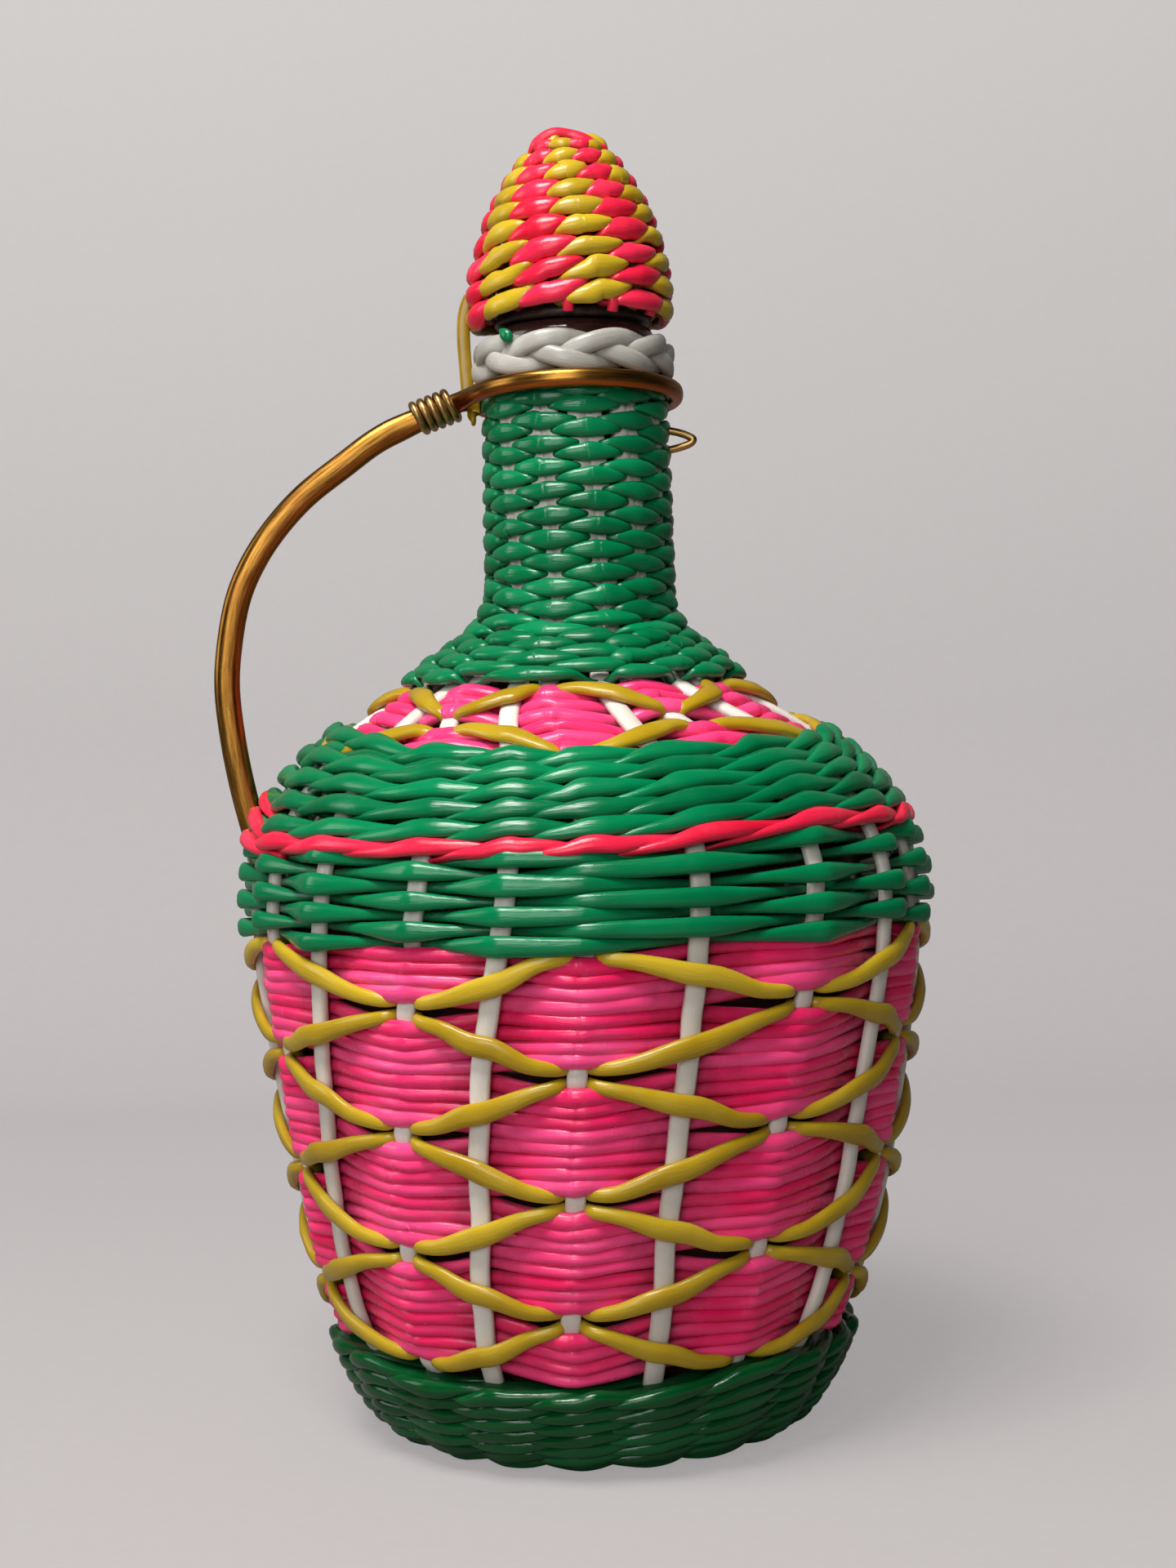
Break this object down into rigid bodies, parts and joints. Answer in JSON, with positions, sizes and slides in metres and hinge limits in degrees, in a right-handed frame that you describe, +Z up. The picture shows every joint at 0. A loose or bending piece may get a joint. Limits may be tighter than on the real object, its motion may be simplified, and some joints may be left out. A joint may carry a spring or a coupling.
{
  "type": "covered carafe",
  "caption": "Tall glass carafe in a woven vinyl-cord cover, with an arched wire handle and a tethered woven stopper.",
  "frame": {"origin": "centre of the flat underside of the base, on the bottle's axis", "axes": "+Z up along the bottle's axis; the handle is towards -X; the front of the cover is towards -Y"},
  "size_m": [0.1665, 0.1623, 0.3],
  "materials": {
    "bottle_glass": "glossy dark glass",
    "green_cord": "glossy vinyl cord",
    "pink_cord": "glossy vinyl cord",
    "red_cord": "glossy vinyl cord",
    "white_cord": "satin vinyl cord",
    "olive_cord": "glossy vinyl cord",
    "amber_cord": "soft clear vinyl",
    "gold_wire": "polished gold",
    "tie_wire": "drawn, slightly dull",
    "dark_core": "glossy",
    "cork": "matte cork"
  },
  "bodies": {
    "bottle": {"glass_bottle": "bottle_glass", "base_mat": "green_cord", "base_wale_band": "green_cord", "pink_panel_weave": "pink_cord", "lower_green_band": "green_cord", "red_wale_row": "red_cord", "upper_green_band": "green_cord", "shoulder_panel_weave": "pink_cord", "neck_root_weave": "green_cord", "neck_weave": "green_cord", "neck_braid": "white_cord", "side_stake_01": "white_cord", "side_stake_02": "white_cord", "side_stake_03": "white_cord", "side_stake_04": "white_cord", "side_stake_05": "white_cord", "side_stake_06": "white_cord", "side_stake_07": "white_cord", "side_stake_08": "white_cord", "side_stake_09": "white_cord", "side_stake_10": "white_cord", "side_stake_11": "white_cord", "side_stake_12": "white_cord", "shoulder_stake_01": "white_cord", "shoulder_stake_02": "white_cord", "shoulder_stake_03": "white_cord", "shoulder_stake_04": "white_cord", "shoulder_stake_05": "white_cord", "shoulder_stake_06": "white_cord", "shoulder_stake_07": "white_cord", "shoulder_stake_08": "white_cord", "shoulder_stake_09": "white_cord", "shoulder_stake_10": "white_cord", "shoulder_stake_11": "white_cord", "shoulder_stake_12": "white_cord", "lattice_cord_1": "olive_cord", "lattice_cord_2": "olive_cord", "lattice_cord_3": "olive_cord", "lattice_cord_4": "olive_cord", "lattice_cord_5": "olive_cord", "lattice_cord_6": "olive_cord", "lattice_cord_7": "olive_cord", "shoulder_lattice_cord_1": "olive_cord", "shoulder_lattice_cord_2": "olive_cord", "handle_wire": "gold_wire", "handle_binding": "tie_wire", "wire_hook": "tie_wire", "tether_cord": "amber_cord"},
    "stopper": {"stopper_plug": "cork", "stopper_core": "dark_core", "cap_weave": "red_cord"}
  },
  "joints": [
    {"name": "stopper_lift", "type": "slide", "parent": "bottle", "child": "stopper", "axis": [0, 0, 1], "range_m": [0, 0.022], "deforming": ["tether_cord"]}
  ]
}
